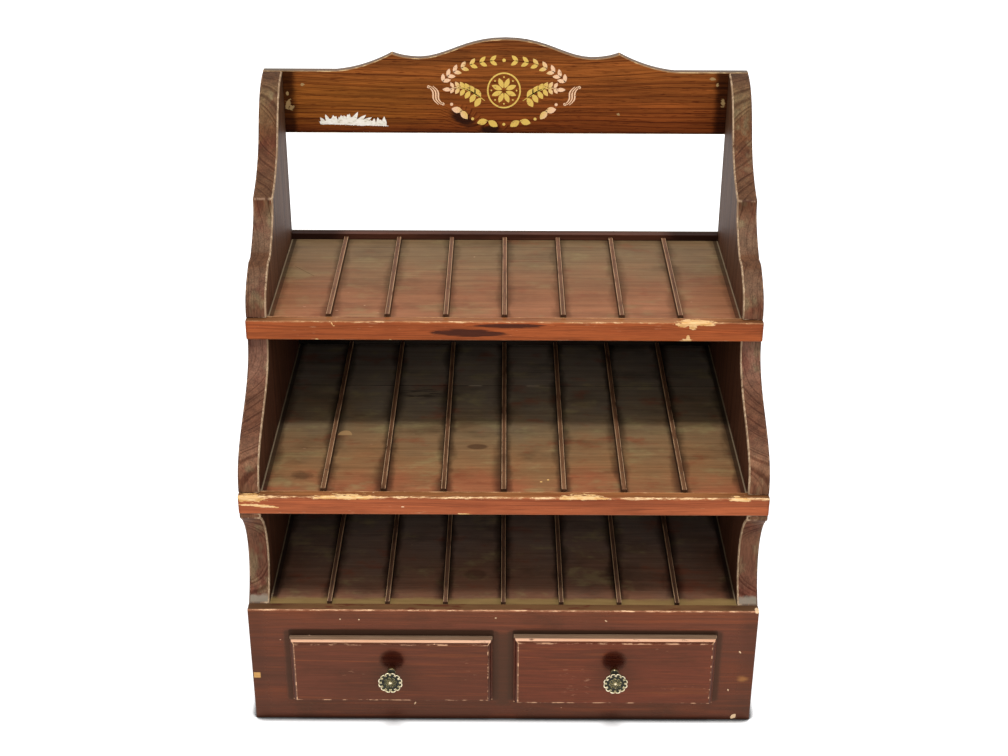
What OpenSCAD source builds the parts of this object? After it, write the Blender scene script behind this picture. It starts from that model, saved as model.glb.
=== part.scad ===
// Stepped spice chest with three ribbed shelves and two drawers.
// Origin: middle of the footprint on the table. +X right, -Y towards the user, +Z up.

/* [Case] */
// Outside width across the two side boards
width = 407; // [340:1:480]
// From the face of the base to the rear edges of the side boards
depth = 264.5; // [240:0.5:320]
// Thickness of each side board
side_t = 16.5; // [12:0.5:22]
// Height of the base, up to the lower shelf
base_h = 109; // [95:0.5:130]
// Rise from one shelf to the next
tier_h = 105.3; // [90:0.1:130]
// Rise of the side boards above the top shelf
head_h = 149; // [130:1:180]

/* [Side scroll] */
// Set-back of the side boards' front edge behind the face of the lips
edge_setback = 4.5; // [2:0.5:6]
// Set-back of the top shelf's lip behind the face of the base
top_setback = 90.5; // [75:0.5:100]
// Depth of the round scoop between the base and the middle lip
scoop_depth = 20; // [10:1:28]
// Set-back of the scoop's upper end behind the face of the lips
scoop_setback = 1.5; // [0:0.5:4]
// Height of the upright bit between the scoop and the middle lip
scoop_lead = 5; // [2:0.5:10]
// Rise of the rounded shoulder above the top lip
shoulder_h = 35.5; // [28:0.5:44]
// Run of the rounded shoulder, front to back
shoulder_run = 30; // [22:0.5:36]
// Depth of the flat ledge on the shoulder
ledge = 10.5; // [4:0.5:14]
// Rise of the cusp above the top lip
cusp_h = 72.5; // [58:0.5:80]
// Run of the lower cove, from the ledge to the cusp
cove_run = 31.5; // [24:0.5:38]
// Height of the flat nose of the cusp
nose_h = 3.5; // [1:0.5:6]
// Run of the upper cove, from the cusp to the neck
neck_run = 50; // [38:0.5:60]
// Rise of the neck above the top lip
neck_h = 107.5; // [96:0.5:116]

/* [Crest board] */
// Thickness of the crest board
crest_t = 8; // [6:0.5:12]
// Height of the crest board at its ends
crest_end_h = 54; // [40:0.5:70]
// Rise of the middle hump above the ends
crest_rise = 27.5; // [16:0.5:36]
// Distance of each small peak from the middle
peak_x = 95; // [85:0.5:110]
// Rise of each small peak above the ends
peak_rise = 15; // [10:0.5:18]
// Distance of each dip from the middle
dip_x = 71; // [60:0.5:80]
// Rise of each dip above the ends
dip_rise = 11; // [6:0.5:13]
// Distance from the middle at which the straight ends start
straight_x = 142; // [125:1:160]

/* [Back panel] */
// Thickness of the back panel
back_t = 3.5; // [3:0.5:6]
// Rise of the back panel and its rail above the top lip
back_rise = 4.8; // [2:0.2:10]
// Inset of the back panel's ends from the outer faces of the side boards
back_inset = 2; // [0:0.5:6]
// Thickness of the rail along the rear of the top shelf
rail_t = 6; // [4:0.5:9]

/* [Shelves and lips] */
// Thickness of the shelf boards
shelf_t = 12; // [9:0.5:15]
// Drop of each shelf below the top of its lip
shelf_drop = 0.6; // [0:0.2:3]
// Depth of the front board of the middle shelf, which is glued up from two
front_board = 175; // [120:1:200]
// Thickness of the lips, front to back
lip_t = 9; // [7:0.5:12]
// Height of the middle lip
middle_lip_h = 15.9; // [13:0.1:20]
// Height of the top lip
top_lip_h = 16.5; // [13:0.1:20]
// Radius of the rounded front edges of the lips
lip_round = 1.4; // [0.4:0.2:3]

/* [Divider strips] */
// Number of jar slots across each shelf
slots = 8; // [8:1:8]
// Distance between the middles of neighbouring divider strips
strip_pitch = 46.3; // [42:0.1:46.7]
// Width of each divider strip
strip_w = 3.8; // [2.6:0.2:6]
// Height of each divider strip
strip_h = 3.2; // [2:0.2:5]
// Radius of the strips' rounded top edges
strip_round = 0.8; // [0.2:0.1:1.2]
// Gap between the end of a strip and the panel or rail behind it
strip_gap = 0.5; // [0.2:0.1:3]

/* [Base] */
// Thickness of the front board of the base
face_t = 8.5; // [7:0.5:12]
// Radius of the rounded top edge of the front board
face_round = 1.2; // [0.4:0.2:3]
// Thickness of the bottom board that the drawers slide on
bottom_t = 10; // [8:0.5:14]
// Width of the two outer drawer guides
guide_w = 12; // [8:0.5:16]
// Height of the drawer guides
guide_h = 12; // [8:0.5:20]
// Gap between a drawer guide and the drawer beside it
guide_gap = 0.6; // [0.4:0.1:1.5]

/* [Drawers] */
// Face of the base left showing outside each drawer front
stile_w = 32.5; // [28:0.5:45]
// Face of the base left showing between the two drawer fronts
mullion_w = 17; // [15:0.5:30]
// Face of the base left showing above the right drawer front
top_rail_h = 22.5; // [15:0.5:26]
// Face of the base left showing below the right drawer front
bottom_rail_h = 20; // [16:0.5:24]
// How much shorter the left drawer front is than the right one
left_trim = 4; // [0:0.5:5]
// Thickness of the lipped part of a drawer front
drawer_face_t = 8; // [7:0.5:12]
// Overlap of the drawer front on the base, on each edge
overlap = 7; // [5:0.5:9]
// Thickness of the tongue behind the lipped part
tongue_t = 7; // [5:0.5:10]
// Clearance round the drawer box in its opening
drawer_gap = 1; // [0.5:0.1:2]
// Length of the drawer box behind the face of the base
drawer_box_l = 235; // [160:1:235]
// Thickness of the drawer's side and rear walls
wall_t = 6; // [5:0.5:9]
// Thickness of the drawer's bottom panel
floor_t = 3; // [2.5:0.5:5]
// Depth of the grooves that hold the bottom panel
groove = 2.5; // [1.5:0.5:3.5]
// Height of the bottom panel above the lower edge of the drawer box
floor_lift = 4; // [3:0.5:8]

/* [Drawer moulding] */
// Thickness of the moulding's outer edge
mould_edge = 2.8; // [2:0.1:3.5]
// Width of the moulding's outer ledge
mould_ledge = 1; // [0.5:0.1:1.5]
// Total width of the moulding
mould_w = 3.2; // [2.6:0.1:5]
// Height of the small step up to the flat field
mould_step = 1.1; // [0.4:0.1:1.6]

/* [Knobs] */
// Rise of the knobs above the middle of the drawer fronts
knob_rise = 1.8; // [0:0.2:6]
// Diameter of the knob over its petals
knob_d = 19.5; // [16:0.5:26]
// Length of the knob from the drawer front to the tip of its bead
knob_l = 16; // [14:0.5:24]
// Diameter of the knob's foot
knob_foot_d = 8.5; // [8:0.5:14]
// Thickness of the knob's foot
knob_foot_h = 2; // [1:0.5:3]
// Diameter of the knob's neck
knob_neck_d = 6.6; // [6:0.2:9]
// Number of petals round the knob
petals = 8; // [6:2:12]
// Thickness of the knob's outer ring of petals
petal_t = 2.2; // [1.4:0.1:3]
// Diameter of the knob screw's shank
screw_d = 4; // [3:0.5:4]
// Clearance between the knob screw and its hole through the drawer front
screw_gap = 0.3; // [0.1:0.1:0.6]
// Clearance between the knob screw and its hole in the knob
thread_gap = 0.05; // [0.02:0.01:0.2]
// Depth of the knob screw in the knob
screw_bite = 8; // [5:0.5:10]
// Diameter of the knob screw's head
screw_head_d = 8; // [6:0.5:10]
// Height of the knob screw's head
screw_head_h = 2.2; // [1.5:0.1:3]

/* [Hidden] */
$fn = 48;
curve_n = 10;
small_gap = 0.3;
eps = 1;

inner_w = width - 2 * side_t;
knob_tip = drawer_face_t + small_gap + knob_l;
face_y = (knob_tip - depth - crest_t) / 2;
rear_y = face_y + depth;
rail_y = rear_y - rail_t;

lower_z = base_h;
middle_z = base_h + tier_h;
top_z = base_h + 2 * tier_h;
shoulder_z = top_z + head_h;

top_lip_y = face_y + top_setback;
top_edge_y = top_setback + edge_setback;
ledge_y = top_edge_y + shoulder_run;
cusp_y = ledge_y + ledge + cove_run;

drawer_w = (width - 2 * stile_w - mullion_w) / 2;
drawer_h = base_h - top_rail_h - bottom_rail_h;
drawer_x = (drawer_w + mullion_w) / 2;
drawer_mid = bottom_rail_h + drawer_h / 2;
opening_w = drawer_w - 2 * overlap;
opening_h = drawer_h - 2 * overlap;
opening_z = bottom_rail_h + overlap;
box_w = opening_w - 2 * drawer_gap;
box_h = opening_h - drawer_gap - small_gap;
box_z = opening_z + small_gap;
tongue_y = face_y - small_gap + tongue_t;
box_rear_y = face_y + drawer_box_l;
knob_z = drawer_mid + knob_rise;
head_z = knob_l - 2 * petal_t;
centre_guide_w = 2 * (drawer_x - box_w / 2 - guide_gap);

// Points of a cubic curve from a to d, pulled towards b and c
function curve(a, b, c, d) = [
    for (i = [0 : curve_n])
        let (t = i / curve_n, s = 1 - t)
            s * s * s * a + 3 * s * s * t * b + 3 * s * t * t * c + t * t * t * d
];

// Points of a round arc from a up to b that bulges by sag to the right of the way it runs
function scoop(a, b, sag) =
    let (
        chord = norm(b - a),
        r = (chord * chord / 4 + sag * sag) / (2 * sag),
        along = (b - a) / chord,
        across = [along[1], -along[0]],
        centre = (a + b) / 2 + across * (sag - r),
        half = asin(chord / 2 / r)
    )
    [
        for (i = [0 : 2 * curve_n])
            let (angle = half * (i / curve_n - 1))
                centre + r * (across * cos(angle) + along * sin(angle))
    ];

// Points of a quarter circle about a centre, from one angle to another
function quarter(centre, r, from, to) = [
    for (i = [0 : 5])
        let (angle = from + (to - from) * i / 5)
            centre + r * [cos(angle), sin(angle)]
];

// Extrudes an outline drawn in Y and Z along X, about the middle of the chest
module along_x(length) {
    translate([-length / 2, 0, 0])
        rotate([90, 0, 90])
            linear_extrude(length)
                children();
}

// Extrudes an outline drawn in X and Z along Y, from the front plane at y back by length
module along_y(y, length) {
    translate([0, y + length, 0])
        rotate([90, 0, 0])
            linear_extrude(length)
                children();
}

// A board between two corners
module board(low, high) {
    translate(low)
        cube(high - low);
}

// Front edge of a side board, in distance behind the base's face and height, from the foot up
function scroll_points() = concat(
    [[face_t, 0]],
    scoop([face_t, lower_z], [scoop_setback, middle_z - middle_lip_h - scoop_lead], scoop_depth),
    [[scoop_setback, middle_z - middle_lip_h]],
    [[lip_t, middle_z - middle_lip_h], [lip_t, middle_z]],
    curve(
        [edge_setback, middle_z],
        [edge_setback, middle_z + 0.24 * tier_h],
        [edge_setback + 0.24 * top_setback, middle_z + 0.33 * tier_h],
        [edge_setback + 0.5 * top_setback, middle_z + 0.43 * tier_h]
    ),
    curve(
        [edge_setback + 0.5 * top_setback, middle_z + 0.43 * tier_h],
        [edge_setback + 0.77 * top_setback, middle_z + 0.53 * tier_h],
        [top_edge_y, middle_z + 0.64 * tier_h],
        [top_edge_y, top_z - top_lip_h]
    ),
    [[top_setback + lip_t, top_z - top_lip_h], [top_setback + lip_t, top_z]],
    curve(
        [top_edge_y, top_z],
        [top_edge_y, top_z + 0.46 * shoulder_h],
        [top_edge_y + 0.3 * shoulder_run, top_z + 0.7 * shoulder_h],
        [ledge_y, top_z + shoulder_h]
    ),
    curve(
        [ledge_y + ledge, top_z + shoulder_h],
        [ledge_y + ledge + 0.43 * cove_run, top_z + shoulder_h + 0.2 * (cusp_h - shoulder_h)],
        [cusp_y, top_z + shoulder_h + 0.58 * (cusp_h - shoulder_h)],
        [cusp_y, top_z + cusp_h - nose_h]
    ),
    curve(
        [cusp_y, top_z + cusp_h],
        [cusp_y + 0.46 * neck_run, top_z + cusp_h + 0.2 * (neck_h - cusp_h)],
        [cusp_y + 0.8 * neck_run, top_z + cusp_h + 0.53 * (neck_h - cusp_h)],
        [cusp_y + neck_run, top_z + neck_h]
    ),
    curve(
        [cusp_y + neck_run, top_z + neck_h],
        [cusp_y + 1.18 * neck_run, top_z + neck_h + 0.37 * (head_h - neck_h)],
        [cusp_y + neck_run + 0.4 * (depth - cusp_y - neck_run), top_z + neck_h + 0.92 * (head_h - neck_h)],
        [depth, top_z + head_h]
    )
);

// A side board with its scrolled front edge, notched for the two lips
module side_board(x) {
    translate([x, face_y, 0])
        along_x(side_t)
            polygon(concat(scroll_points(), [[depth, 0]]));
}

module left_side() {
    color("saddlebrown")
        side_board(-width / 2 + side_t / 2);
}

module right_side() {
    color("saddlebrown")
        side_board(width / 2 - side_t / 2);
}

// Right half of the crest board's top edge, from the summit out to the end
function crest_half() = concat(
    curve(
        [0, crest_rise],
        [0.48 * dip_x, crest_rise],
        [0.68 * dip_x, 1.1 * dip_rise],
        [dip_x, dip_rise]
    ),
    curve(
        [dip_x, dip_rise],
        [dip_x + 0.4 * (peak_x - dip_x), dip_rise],
        [dip_x + 0.7 * (peak_x - dip_x), dip_rise + 0.3 * (peak_rise - dip_rise)],
        [peak_x, peak_rise]
    ),
    curve(
        [peak_x, peak_rise],
        [peak_x + 0.3 * (straight_x - peak_x), 0.48 * peak_rise],
        [peak_x + 0.65 * (straight_x - peak_x), 0.1 * peak_rise],
        [straight_x, 0]
    ),
    [[width / 2, 0], [width / 2, -crest_end_h]]
);

// The shaped board across the top, fixed to the rear edges of the side boards
module crest_board() {
    half = crest_half();
    mirrored = [for (i = [len(half) - 1 : -1 : 1]) [-half[i][0], half[i][1]]];
    color("peru")
        along_y(rear_y, crest_t)
            translate([0, shoulder_z])
                polygon(concat(half, mirrored));
}

// Thin panel behind the tiers, fixed to the rear edges of the side boards
module back_panel() {
    color("sienna")
        board(
            [-width / 2 + back_inset, rear_y, 0],
            [width / 2 - back_inset, rear_y + back_t, top_z + back_rise]
        );
}

// Low rail on the rear of the top shelf, in front of the panel
module rear_rail() {
    color("maroon")
        board([-inner_w / 2, rail_y, top_z - shelf_drop], [inner_w / 2, rear_y, top_z + back_rise]);
}

// A shelf board between the sides, from y = from to y = to, with its top at z
module shelf(from, to, z) {
    board([-inner_w / 2, from, z - shelf_t], [inner_w / 2, to, z]);
}

module top_shelf() {
    color("rosybrown")
        shelf(top_lip_y + lip_t, rear_y, top_z - shelf_drop);
}

module middle_shelf_front() {
    color("rosybrown")
        shelf(face_y + lip_t, face_y + lip_t + front_board, middle_z - shelf_drop);
}

module middle_shelf_rear() {
    color("tan")
        shelf(face_y + lip_t + front_board, rear_y, middle_z - shelf_drop);
}

module lower_shelf() {
    color("rosybrown")
        shelf(face_y + face_t, rear_y, lower_z - shelf_drop);
}

// A lip across the front of a shelf, with both front edges rounded
module lip(y, z, height) {
    r = lip_round;
    color("chocolate")
        translate([0, y, z])
            along_x(width)
                polygon(concat(
                    quarter([r, -height + r], r, 270, 180),
                    quarter([r, -r], r, 180, 90),
                    [[lip_t, 0], [lip_t, -height]]
                ));
}

module top_lip() {
    lip(top_lip_y, top_z, top_lip_h);
}

module middle_lip() {
    lip(face_y, middle_z, middle_lip_h);
}

// Divider strip number i on a shelf, from y = from to just short of y = to, on the shelf's top at z
module strip(i, from, to, z) {
    x = (i - slots / 2) * strip_pitch;
    r = strip_round;
    color("burlywood")
        translate([x, 0, z])
            along_y(from, to - strip_gap - from)
                polygon(concat(
                    [[-strip_w / 2, 0], [strip_w / 2, 0]],
                    quarter([strip_w / 2 - r, strip_h - r], r, 0, 90),
                    quarter([-strip_w / 2 + r, strip_h - r], r, 90, 180)
                ));
}

// Board across the front of the base, with a cut-out for each drawer
module base_front() {
    r = face_round;
    color("brown")
        difference() {
            translate([0, face_y, 0])
                along_x(width)
                    polygon(concat(
                        [[0, 0]],
                        quarter([r, base_h - r], r, 180, 90),
                        [[face_t, base_h], [face_t, 0]]
                    ));
            for (side = [-1, 1])
                board(
                    [side * drawer_x - opening_w / 2, face_y - eps, opening_z],
                    [side * drawer_x + opening_w / 2, face_y + face_t + eps, opening_z + opening_h]
                );
        }
}

// Bottom board that the drawers slide on, level with the lower edge of the openings
module base_bottom() {
    color("tan")
        board(
            [-inner_w / 2, face_y + face_t, opening_z - bottom_t],
            [inner_w / 2, rear_y, opening_z]
        );
}

// A guide rail on the bottom board, centred on x
module drawer_guide(x, w) {
    color("wheat")
        board(
            [x - w / 2, face_y + face_t, opening_z],
            [x + w / 2, rear_y, opening_z + guide_h]
        );
}

module outer_guide(side) {
    drawer_guide(side * (drawer_x + box_w / 2 + guide_gap + guide_w / 2), guide_w);
}

// Half outline of a moulded drawer front: inset from the edge, and thickness there
function mould_points() = concat(
    [[0, 0], [0, mould_edge], [mould_ledge, mould_edge]],
    curve(
        [mould_ledge, mould_edge],
        [mould_ledge, mould_edge + 0.55 * (drawer_face_t - mould_step - mould_edge)],
        [mould_w - 0.55 * (mould_w - mould_ledge), drawer_face_t - mould_step],
        [mould_w, drawer_face_t - mould_step]
    ),
    [[mould_w, drawer_face_t]]
);

// Outline across a moulded front that is size wide, drawn with its thickness towards -y
module mould_outline(size) {
    half = [for (p = mould_points()) [p[0] - size / 2, -p[1]]];
    other = [for (i = [len(half) - 1 : -1 : 0]) [-half[i][0], half[i][1]]];
    polygon(concat(half, other));
}

// Outline of the moulded front's height, drawn in Y and Z
module mould_side(size) {
    half = [for (p = mould_points()) [-p[1], p[0] - size / 2]];
    other = [for (i = [len(half) - 1 : -1 : 0]) [half[i][0], -half[i][1]]];
    polygon(concat(half, other));
}

// Lipped drawer front with mitred moulding, a tongue behind it and a hole for the knob screw
module drawer_front(x, trim) {
    h = drawer_h - trim;
    color("firebrick")
        difference() {
            union() {
                translate([x, face_y - small_gap, drawer_mid])
                    intersection() {
                        translate([0, 0, -h])
                            linear_extrude(2 * h)
                                mould_outline(drawer_w);
                        along_x(2 * drawer_w)
                            mould_side(h);
                    }
                board(
                    [x - box_w / 2 + wall_t, face_y - small_gap, box_z],
                    [x + box_w / 2 - wall_t, tongue_y, box_z + box_h]
                );
            }
            translate([x, face_y, knob_z])
                rotate([90, 0, 0])
                    cylinder(h = 4 * knob_l, d = screw_d + 2 * screw_gap, center = true);
            drawer_floor_space(x);
        }
}

// The space that the bottom panel fills, grooves included
module drawer_floor_space(x) {
    board(
        [x - box_w / 2 + wall_t - groove, tongue_y - groove, box_z + floor_lift],
        [x + box_w / 2 - wall_t + groove, box_rear_y - wall_t + groove, box_z + floor_lift + floor_t]
    );
}

// A side wall of a drawer box, grooved for the bottom panel; side is -1 or 1
module drawer_wall(x, side) {
    outer = x + side * box_w / 2;
    inner = outer - side * wall_t;
    color("wheat")
        difference() {
            board(
                [min(outer, inner), face_y, box_z],
                [max(outer, inner), box_rear_y, box_z + box_h]
            );
            drawer_floor_space(x);
        }
}

// The rear wall of a drawer box, between its side walls
module drawer_rear(x) {
    color("wheat")
        difference() {
            board(
                [x - box_w / 2 + wall_t, box_rear_y - wall_t, box_z],
                [x + box_w / 2 - wall_t, box_rear_y, box_z + box_h]
            );
            drawer_floor_space(x);
        }
}

module drawer_floor(x) {
    color("tan")
        drawer_floor_space(x);
}

// Stem of the knob: its foot, neck and the cup under its head, turned about its axis
module knob_stem() {
    rotate_extrude()
        polygon(concat(
            [[0, 0], [knob_foot_d / 2, 0], [knob_foot_d / 2, knob_foot_h / 2]],
            curve(
                [knob_foot_d * 0.44, knob_foot_h],
                [knob_neck_d / 2, knob_foot_h * 1.4],
                [knob_neck_d / 2, head_z / 2],
                [knob_neck_d / 2, head_z * 0.7]
            ),
            [[knob_d * 0.38, head_z], [knob_d * 0.38, head_z + petal_t], [0, head_z + petal_t]]
        ));
}

// A ring of petals, radius r and height t, standing on the plane at z
module petal_ring(r, z, t, turn) {
    steps = 6 * petals;
    translate([0, 0, z])
        linear_extrude(t)
            polygon([
                for (i = [0 : steps - 1])
                    let (
                        angle = i * 360 / steps,
                        reach = r * (1 - 0.16 * (1 - abs(cos(petals / 2 * (angle - turn)))))
                    )
                    reach * [cos(angle), sin(angle)]
            ]);
}

// Domed bead in the middle of the flower, turned about the knob's axis
module knob_bead() {
    base = head_z + petal_t;
    r = knob_d * 0.16;
    rotate_extrude()
        polygon(concat(
            [[0, base]],
            curve([r, base], [r, (base + knob_l) / 2], [r * 0.7, knob_l], [0, knob_l])
        ));
}

// Cast flower knob: a turned stem, two rings of petals and a bead, with a blind hole for its screw
module knob(x) {
    color("darkkhaki")
        translate([x, face_y - small_gap - drawer_face_t, knob_z])
            rotate([90, 0, 0]) {
                difference() {
                    knob_stem();
                    translate([0, 0, -eps])
                        cylinder(h = screw_bite + small_gap + eps, d = screw_d + 2 * thread_gap);
                }
                petal_ring(knob_d / 2, head_z, petal_t, 0);
                petal_ring(knob_d * 0.34, head_z + petal_t, petal_t * 0.7, 180 / petals);
                knob_bead();
            }
}

// Pan-head screw through the drawer front into the knob
module knob_screw(x) {
    shank = screw_bite + drawer_face_t + small_gap + tongue_y - face_y;
    color("gray")
        translate([x, tongue_y, knob_z])
            rotate([90, 0, 0]) {
                cylinder(h = shank, d = screw_d);
                mirror([0, 0, 1])
                    cylinder(h = screw_head_h, d1 = screw_head_d, d2 = screw_head_d * 0.7);
            }
}

left_side();
right_side();
crest_board();
back_panel();
rear_rail();
top_shelf();
middle_shelf_front();
middle_shelf_rear();
lower_shelf();
top_lip();
middle_lip();
base_front();
base_bottom();
outer_guide(-1);  // left_drawer_guide
drawer_guide(0, centre_guide_w);  // centre_drawer_guide
outer_guide(1);  // right_drawer_guide

for (i = [1 : slots - 1]) {
    strip(i, top_lip_y + lip_t, rail_y, top_z - shelf_drop);
    strip(i, face_y + lip_t, rear_y, middle_z - shelf_drop);
    strip(i, face_y + face_t, rear_y, lower_z - shelf_drop);
}

drawer_front(-drawer_x, left_trim);  // left_drawer_front
drawer_wall(-drawer_x, -1);  // left_drawer_left_wall
drawer_wall(-drawer_x, 1);  // left_drawer_right_wall
drawer_rear(-drawer_x);  // left_drawer_rear
drawer_floor(-drawer_x);  // left_drawer_floor
knob(-drawer_x);  // left_knob
knob_screw(-drawer_x);  // left_knob_screw
drawer_front(drawer_x, 0);  // right_drawer_front
drawer_wall(drawer_x, -1);  // right_drawer_left_wall
drawer_wall(drawer_x, 1);  // right_drawer_right_wall
drawer_rear(drawer_x);  // right_drawer_rear
drawer_floor(drawer_x);  // right_drawer_floor
knob(drawer_x);  // right_knob
knob_screw(drawer_x);  // right_knob_screw
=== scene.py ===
"""Finishes, light and camera for the stepped spice chest.

The boards are the CAD's own, with softened arrises and procedural stained pine. The knobs, brads,
crest ornament and paper remnant are modelled here. Pieces are made in metres, and patterns are
laid out in millimetres of the object's frame, so one measure serves the whole chest.
"""
import math

import bmesh
import bpy
from mathutils import Matrix, Vector, noise


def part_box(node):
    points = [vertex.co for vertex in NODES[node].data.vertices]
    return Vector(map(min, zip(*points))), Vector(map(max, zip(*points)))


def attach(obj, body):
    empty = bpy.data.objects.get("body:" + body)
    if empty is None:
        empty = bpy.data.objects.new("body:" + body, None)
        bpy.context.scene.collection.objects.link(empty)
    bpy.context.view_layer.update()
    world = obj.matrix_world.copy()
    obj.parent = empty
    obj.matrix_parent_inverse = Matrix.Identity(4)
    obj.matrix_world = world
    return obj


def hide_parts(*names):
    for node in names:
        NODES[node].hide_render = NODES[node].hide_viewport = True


MM = 0.001

# Camera: read from the photograph's vanishing lines, for an image of 1008 x 756
CAMERA_PLACE = (-0.0002, -1.1511, 0.8534)
CAMERA_PITCH = 62.44
CAMERA_ROLL = 0.25
CAMERA_LENS = 56.42
SENSOR = 36.0

# Light: an overhead source leaning towards the user, two soft ones from the front, and a pale room
LIGHTS = (("overhead", 16.0, 0.0, 9.0, 1.75), ("front_left", 63.0, -35.0, 24.0, 0.3),
          ("front_right", 63.0, 35.0, 24.0, 0.3))
ROOM_STRENGTH = 0.76
FLOOR_SIZE = 14.0
FLOOR_LIFT = 0.42
CONTACT_REACH = 0.012

# What late wood, grime and painted shade do to the colour under them, in linear red, green and blue
LATE_WOOD = (0.42, 0.30, 0.24, 1.0)
GRIME_AND_SHADE = (0.16, 0.13, 0.11, 1.0)

RAW_WOOD = "e0b26c"
RUBBED_STAIN = "b08060"

# Gloss of the base's old stained lacquer: strength and tint of what it mirrors
LACQUER_GLOSS = 0.62
LACQUER = "ffb890"

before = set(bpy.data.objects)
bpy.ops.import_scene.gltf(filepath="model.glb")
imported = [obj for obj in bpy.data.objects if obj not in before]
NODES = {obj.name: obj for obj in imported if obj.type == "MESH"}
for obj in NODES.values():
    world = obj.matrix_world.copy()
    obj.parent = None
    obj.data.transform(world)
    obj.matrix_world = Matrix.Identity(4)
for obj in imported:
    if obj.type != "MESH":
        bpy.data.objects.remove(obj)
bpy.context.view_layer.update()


def tone(code):
    """Linear colour of a six-digit sRGB code."""
    parts = [int(code[i:i + 2], 16) / 255 for i in (0, 2, 4)]
    return [p / 12.92 if p <= 0.04045 else ((p + 0.055) / 1.055) ** 2.4 for p in parts] + [1.0]


def corners(node):
    """A node's lowest and highest corners at rest, in millimetres."""
    return [[value / MM for value in corner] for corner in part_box(node)]


class Finish:
    """A material while it is put together: its colour, roughness and relief so far."""

    def __init__(self, name, along="X"):
        self.material = bpy.data.materials.new(name)
        self.material.use_nodes = True
        self.tree = self.material.node_tree
        self.shader = self.tree.nodes["Principled BSDF"]
        self.along = along
        place = self.add("ShaderNodeTexCoord").outputs["Object"]
        self.mm = self.scaled(place, 1 / MM)
        self.at = self.split(self.mm)
        self.half = self.math("ABSOLUTE", self.at["X"])
        self.facing = self.split(self.add("ShaderNodeNewGeometry").outputs["Normal"])
        self.ring_place = self.mm
        self.colour, self.rough, self.height = tone("808080"), 0.5, None

    def feed(self, socket, value):
        if isinstance(value, bpy.types.NodeSocket):
            self.tree.links.new(value, socket)
        else:
            socket.default_value = value

    def add(self, kind, named=None, **settings):
        node = self.tree.nodes.new(kind)
        for key, value in settings.items():
            setattr(node, key, value)
        for key, value in (named or {}).items():
            self.feed(node.inputs[key], value)
        return node

    def math(self, operation, *values, clamp=False):
        node = self.add("ShaderNodeMath", operation=operation, use_clamp=clamp)
        for socket, value in zip(node.inputs, values):
            self.feed(socket, value)
        return node.outputs[0]

    def vector(self, operation, *values):
        node = self.add("ShaderNodeVectorMath", operation=operation)
        for socket, value in zip(node.inputs, values):
            self.feed(socket, value)
        return node.outputs["Value" if operation == "LENGTH" else "Vector"]

    def scaled(self, value, factor):
        return self.add("ShaderNodeVectorMath", {"Vector": value, "Scale": factor},
                        operation="SCALE").outputs[0]

    def split(self, value):
        node = self.add("ShaderNodeSeparateXYZ", {"Vector": value})
        return {axis: node.outputs[axis] for axis in "XYZ"}

    def mix(self, factor, one, other, blend="MIX"):
        node = self.add("ShaderNodeMix", data_type="RGBA", blend_type=blend)
        for index, value in ((0, factor), (6, one), (7, other)):
            self.feed(node.inputs[index], value)
        return node.outputs[2]

    def fit(self, value, low, high, start=0.0, end=1.0, smooth=True):
        node = self.add("ShaderNodeMapRange", {
            "Value": value, "From Min": low, "From Max": high, "To Min": start, "To Max": end},
            clamp=True, interpolation_type="SMOOTHSTEP" if smooth else "LINEAR")
        return node.outputs[0]

    def ramp(self, value, *stops):
        node = self.add("ShaderNodeValToRGB", {"Fac": value})
        ends = node.color_ramp.elements
        while len(ends) < len(stops):
            ends.new(0.5)
        for end, (at, code) in zip(ends, stops):
            end.position = at
            end.color = tone(code)
        return node.outputs["Color"]

    def times(self, *values):
        total = values[0]
        for value in values[1:]:
            total = self.math("MULTIPLY", total, value)
        return total

    def away(self, **line):
        """Distance from a line or plane of the frame, such as Y=-32, Z=319, in millimetres."""
        place = [line.get(axis, 0.0) for axis in "XYZ"]
        mask = [1.0 if axis in line else 0.0 for axis in "XYZ"]
        return self.vector("LENGTH", self.vector("MULTIPLY", self.vector("SUBTRACT", self.mm, place), mask))

    def near(self, reach, **line):
        """1 on a line or plane of the frame, falling to 0 at reach from it."""
        return self.fit(self.away(**line), 0.0, reach, 1.0, 0.0)

    def band(self, value, low, high, soft):
        """1 between low and high, with soft ends outside them."""
        return self.times(self.fit(value, low - soft, low), self.fit(value, high, high + soft, 1.0, 0.0))

    def streaks(self, long, wide, detail=3.0, rough=0.55, shift=0.0, bend=0.0):
        """Noise drawn out along the grain, in spots of about long by wide millimetres."""
        scale = [1 / (long if axis == self.along else wide) for axis in "XYZ"]
        place = self.add("ShaderNodeMapping", {"Vector": self.mm, "Scale": scale, "Location": [shift] * 3})
        return self.add("ShaderNodeTexNoise", {
            "Vector": place.outputs[0], "Scale": 1.0, "Detail": detail, "Roughness": rough,
            "Distortion": bend}).outputs["Fac"]

    def spots(self, *places):
        """1 at the middle of each spot (x, y, z), (long, deep, high), turn about y, and 0 outside them."""
        total = 0.0
        for at, size, turn in places:
            spot = self.add("ShaderNodeMapping", {
                "Vector": self.mm, "Location": at, "Rotation": (0, math.radians(turn), 0), "Scale": size})
            spot.vector_type = "TEXTURE"
            ball = self.add("ShaderNodeTexGradient", {"Vector": spot.outputs[0]}, gradient_type="SPHERICAL")
            total = self.math("MAXIMUM", total, ball.outputs["Fac"])
        return total

    def ragged(self, field, amount, low, high, long=5.0, wide=2.0, shift=0.0):
        """A field between 0 and 1 cut off at low to high, along a line made uneven by noise."""
        uneven = self.math("MULTIPLY_ADD", self.streaks(long, wide, 4, 0.65, shift), amount, -amount / 2)
        return self.fit(self.math("ADD", field, uneven), low, high)

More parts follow.
